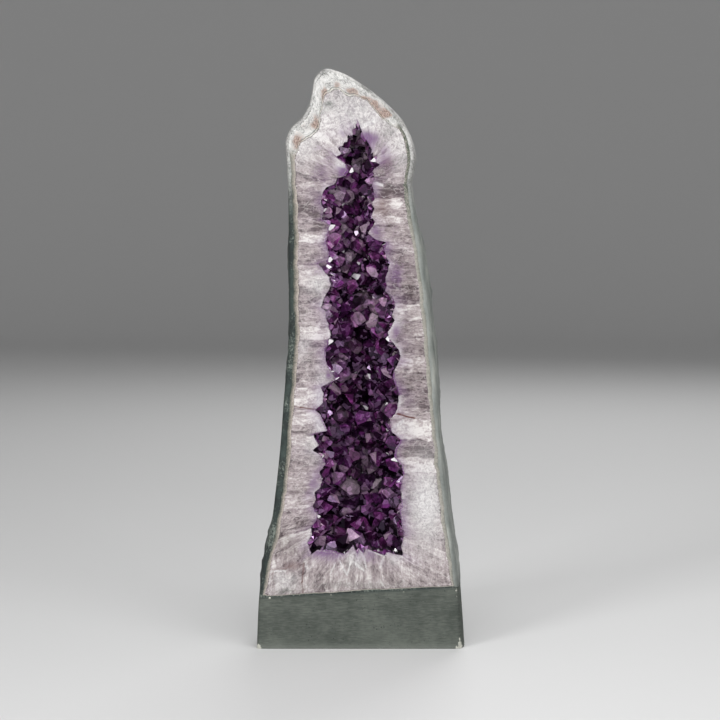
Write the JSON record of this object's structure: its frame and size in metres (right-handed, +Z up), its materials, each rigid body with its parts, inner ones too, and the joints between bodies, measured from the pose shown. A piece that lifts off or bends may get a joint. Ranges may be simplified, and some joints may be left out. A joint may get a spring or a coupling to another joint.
{
  "type": "amethyst geode",
  "caption": "Tall amethyst geode sawn open lengthwise, lined with purple quartz points and standing on a grey-green cement foot.",
  "frame": {"origin": "centre of the cement foot's underside, under the middle of the whole piece's box", "axes": "+Z up along the length of the geode, -Y out of the sawn face and its crystal cavity, +X to the viewer's right"},
  "size_m": [0.2207, 0.1703, 0.6116],
  "materials": {
    "cement": "matte grey-green cement, fine horizontal grain and small pits",
    "basalt": "grey-green weathered basalt with a dark teal celadonite skin, rubbed smooth at the rim",
    "agate": "polished cream and white agate with tan lines",
    "pale_quartz": "polished milky white to lilac quartz in columns",
    "amethyst": "deep purple glassy quartz points",
    "clear_quartz": "clear to milky quartz points"
  },
  "bodies": {
    "root": {"cement_foot": "cement", "basalt_rind": "basalt", "agate_band": "agate", "quartz_wall": "pale_quartz", "amethyst_bed": "amethyst", "amethyst_point_01": "amethyst", "amethyst_point_02": "amethyst", "amethyst_point_03": "amethyst", "amethyst_point_04": "amethyst", "amethyst_point_05": "amethyst", "amethyst_point_06": "amethyst", "amethyst_point_07": "amethyst", "amethyst_point_08": "amethyst", "amethyst_point_09": "amethyst", "amethyst_point_10": "amethyst", "amethyst_point_11": "amethyst", "amethyst_point_12": "amethyst", "amethyst_point_13": "amethyst", "amethyst_point_14": "amethyst", "amethyst_point_15": "amethyst", "amethyst_point_16": "amethyst", "amethyst_point_17": "amethyst", "amethyst_point_18": "amethyst", "amethyst_point_19": "amethyst", "amethyst_point_20": "amethyst", "amethyst_point_21": "amethyst", "amethyst_point_22": "amethyst", "amethyst_point_23": "amethyst", "amethyst_point_24": "amethyst", "amethyst_point_25": "amethyst", "amethyst_point_26": "amethyst", "amethyst_point_27": "amethyst", "amethyst_point_28": "amethyst", "amethyst_point_29": "amethyst", "amethyst_point_30": "amethyst", "amethyst_point_31": "amethyst", "amethyst_point_32": "amethyst", "amethyst_point_33": "amethyst", "amethyst_point_34": "amethyst", "amethyst_point_35": "amethyst", "amethyst_point_36": "amethyst", "amethyst_point_37": "amethyst", "amethyst_point_38": "amethyst", "amethyst_point_39": "amethyst", "amethyst_point_40": "amethyst", "amethyst_point_41": "amethyst", "amethyst_point_42": "amethyst", "amethyst_point_43": "amethyst", "amethyst_point_44": "amethyst", "amethyst_point_45": "amethyst", "amethyst_point_46": "amethyst", "amethyst_point_47": "amethyst", "amethyst_point_48": "amethyst", "clear_point_01": "clear_quartz", "clear_point_02": "clear_quartz", "clear_point_03": "clear_quartz", "clear_point_04": "clear_quartz", "clear_point_05": "clear_quartz"}
  },
  "joints": []
}
